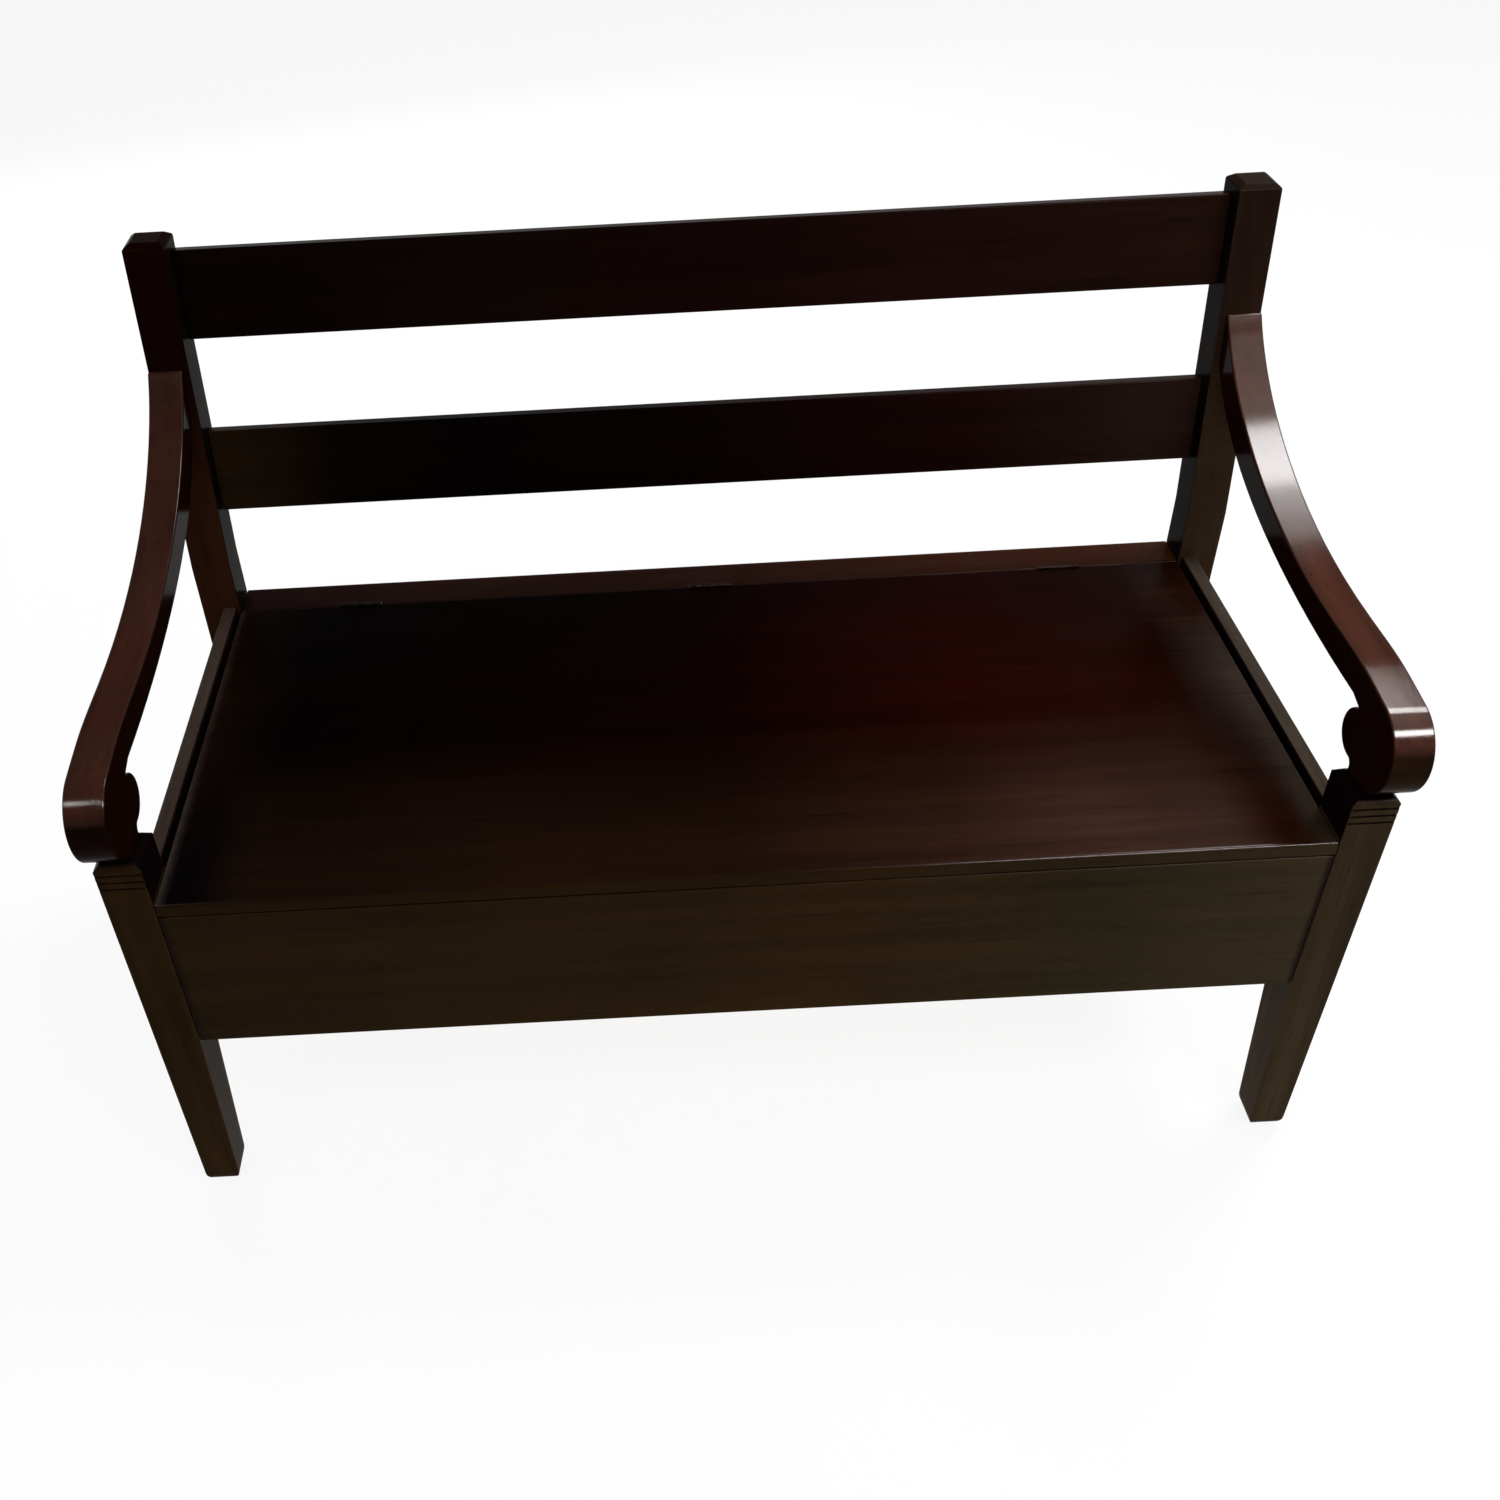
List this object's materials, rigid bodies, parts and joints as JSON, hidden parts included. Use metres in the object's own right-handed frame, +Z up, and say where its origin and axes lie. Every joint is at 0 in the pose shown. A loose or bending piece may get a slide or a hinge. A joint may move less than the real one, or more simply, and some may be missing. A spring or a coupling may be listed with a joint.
{
  "type": "deacons bench",
  "caption": "Dark wooden deacons bench with a raked rail back, scroll arms, square legs and a hinged seat lid over a storage box.",
  "frame": {"origin": "on the floor, under the middle of the bounding box", "axes": "+X to the right of a viewer who faces the front, +Y from the front to the back, +Z up"},
  "size_m": [1.22, 0.6216, 0.866],
  "materials": {
    "espresso_wood": "espresso stain under a glossy clear lacquer",
    "bare_wood": "planed, not stained or lacquered",
    "bronze": "antique bronze plating",
    "steel": "zinc plating",
    "felt": "pressed felt"
  },
  "bodies": {
    "bench": {"front_leg_left": "espresso_wood", "front_leg_right": "espresso_wood", "back_post_left": "espresso_wood", "back_post_right": "espresso_wood", "mid_rail": "espresso_wood", "crest_rail": "espresso_wood", "front_apron": "espresso_wood", "rear_apron": "espresso_wood", "side_board_left": "espresso_wood", "side_board_right": "espresso_wood", "seat_strip": "espresso_wood", "arm_left": "espresso_wood", "arm_right": "espresso_wood", "screw_plug_left": "espresso_wood", "screw_plug_right": "espresso_wood", "front_cleat": "bare_wood", "rear_cleat": "bare_wood", "side_cleat_left": "bare_wood", "side_cleat_right": "bare_wood", "strip_cleat": "bare_wood", "bottom_panel": "bare_wood", "arm_dowel_left": "bare_wood", "arm_dowel_right": "bare_wood", "hinge_left_strip_leaf": "bronze", "hinge_left_strip_screw_1": "bronze", "hinge_left_strip_screw_2": "bronze", "hinge_middle_strip_leaf": "bronze", "hinge_middle_strip_screw_1": "bronze", "hinge_middle_strip_screw_2": "bronze", "hinge_right_strip_leaf": "bronze", "hinge_right_strip_screw_1": "bronze", "hinge_right_strip_screw_2": "bronze", "hinge_left_pin": "steel", "hinge_middle_pin": "steel", "hinge_right_pin": "steel", "arm_screw_left": "steel", "arm_screw_right": "steel", "strip_screw_1": "steel", "strip_screw_2": "steel", "strip_screw_3": "steel", "strip_screw_4": "steel", "lid_dot_left": "felt", "lid_dot_right": "felt"},
    "lid": {"seat_lid": "espresso_wood", "hinge_left_lid_leaf": "bronze", "hinge_left_lid_screw_1": "bronze", "hinge_left_lid_screw_2": "bronze", "hinge_middle_lid_leaf": "bronze", "hinge_middle_lid_screw_1": "bronze", "hinge_middle_lid_screw_2": "bronze", "hinge_right_lid_leaf": "bronze", "hinge_right_lid_screw_1": "bronze", "hinge_right_lid_screw_2": "bronze"}
  },
  "joints": [
    {"name": "lid_hinge", "type": "hinge", "parent": "bench", "child": "lid", "pos_m": [0, 0.21644, 0.439], "axis": [-1, 0, 0], "range_deg": [0, 99]}
  ]
}
